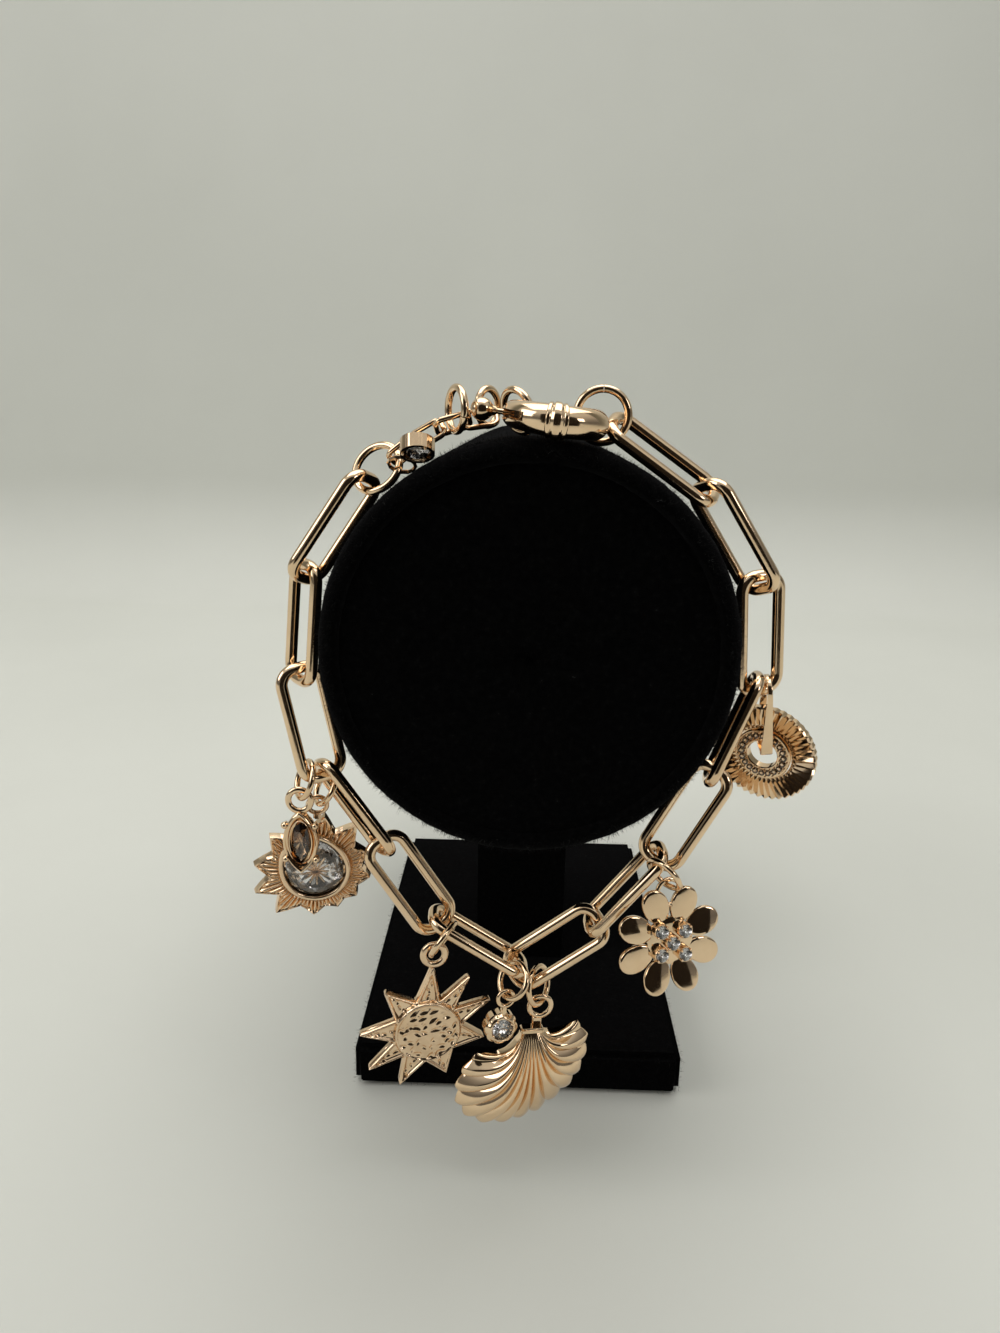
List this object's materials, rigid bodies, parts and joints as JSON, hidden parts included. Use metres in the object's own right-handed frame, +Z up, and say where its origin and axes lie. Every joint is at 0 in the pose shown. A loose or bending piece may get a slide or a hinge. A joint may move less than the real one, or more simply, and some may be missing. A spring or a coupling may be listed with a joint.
{
  "type": "charm bracelet on display stand",
  "caption": "Charm bracelet of long oval links with a sailor clasp and hanging sunburst, star, shell, flower and disc drops, laid over the padded roll of a T-bar display stand.",
  "frame": {"origin": "centre of the underside of the stand's base, on the surface it stands on", "axes": "+X to the viewer's right along the bracelet's width, +Y away from the viewer along the roll, +Z up"},
  "size_m": [0.0663, 0.1169, 0.0997],
  "materials": {
    "velvet": "black velvet, matt, on the stand",
    "gold": "gold-plated brass with a warm rose tone, polished, hand-hammered on the charms",
    "crystal": "clear faceted crystal"
  },
  "bodies": {
    "stand": {"stand_base": "velvet", "stand_post": "velvet", "stand_pad": "velvet", "link_01": "gold", "link_02": "gold", "link_03": "gold", "link_04": "gold", "link_05": "gold", "link_06": "gold", "link_07": "gold", "link_08": "gold", "link_09": "gold", "link_10": "gold", "link_11": "gold", "link_12": "gold", "link_13": "gold", "ring_right": "gold", "clasp_body": "gold", "clasp_ring_1": "gold", "ring_left": "gold", "extender_link_01": "gold", "extender_link_02": "gold", "extender_link_03": "gold", "extender_link_04": "gold", "clasp_ring_2": "gold", "clasp_ring_3": "gold", "drop_bezel": "gold", "drop_stone": "crystal", "sunburst_ring": "gold", "marquise_ring": "gold", "marquise_frame": "gold", "marquise_stone": "crystal", "star_ring": "gold", "shell_ring": "gold", "mini_ring": "gold", "mini_cup": "gold", "mini_stone": "crystal", "flower_ring": "gold"},
    "clasp_gate": {"clasp_gate": "gold"},
    "sunburst": {"sunburst_plate": "gold", "sunburst_stone": "crystal"},
    "star": {"star": "gold"},
    "shell": {"shell": "gold"},
    "flower": {"flower_petals": "gold", "flower_stone_1": "crystal", "flower_stone_2": "crystal", "flower_stone_3": "crystal", "flower_stone_4": "crystal", "flower_stone_5": "crystal"},
    "disc_drop": {"disc_bail": "gold", "disc": "gold", "disc_pave": "gold"}
  },
  "joints": [
    {"name": "clasp_gate_slide", "type": "hinge", "parent": "stand", "child": "clasp_gate", "pos_m": [0.0022, -0.053, 0.09615], "axis": [0.1131, -0.0349, 0.993], "range_deg": [0, 50]},
    {"name": "sunburst_swing", "type": "hinge", "parent": "stand", "child": "sunburst", "pos_m": [-0.0247, -0.04998, 0.05128], "axis": [0.2054, -0.9661, -0.1564], "range_deg": [-15, 15]},
    {"name": "star_swing", "type": "hinge", "parent": "stand", "child": "star", "pos_m": [-0.01043, -0.05282, 0.03343], "axis": [0.2419, -0.9703, 0], "range_deg": [-15, 15]},
    {"name": "shell_swing", "type": "hinge", "parent": "stand", "child": "shell", "pos_m": [0.00263, -0.05106, 0.02571], "axis": [0.2079, -0.9781, 0], "range_deg": [-10, 15]},
    {"name": "flower_swing", "type": "hinge", "parent": "stand", "child": "flower", "pos_m": [0.0172, -0.05341, 0.04347], "axis": [0.306, -0.9418, 0.1392], "range_deg": [0, 15]},
    {"name": "disc_swing", "type": "hinge", "parent": "stand", "child": "disc_drop", "pos_m": [0.02719, -0.05043, 0.06707], "axis": [0.9945, -0.0306, 0.1], "range_deg": [0, 40]}
  ]
}
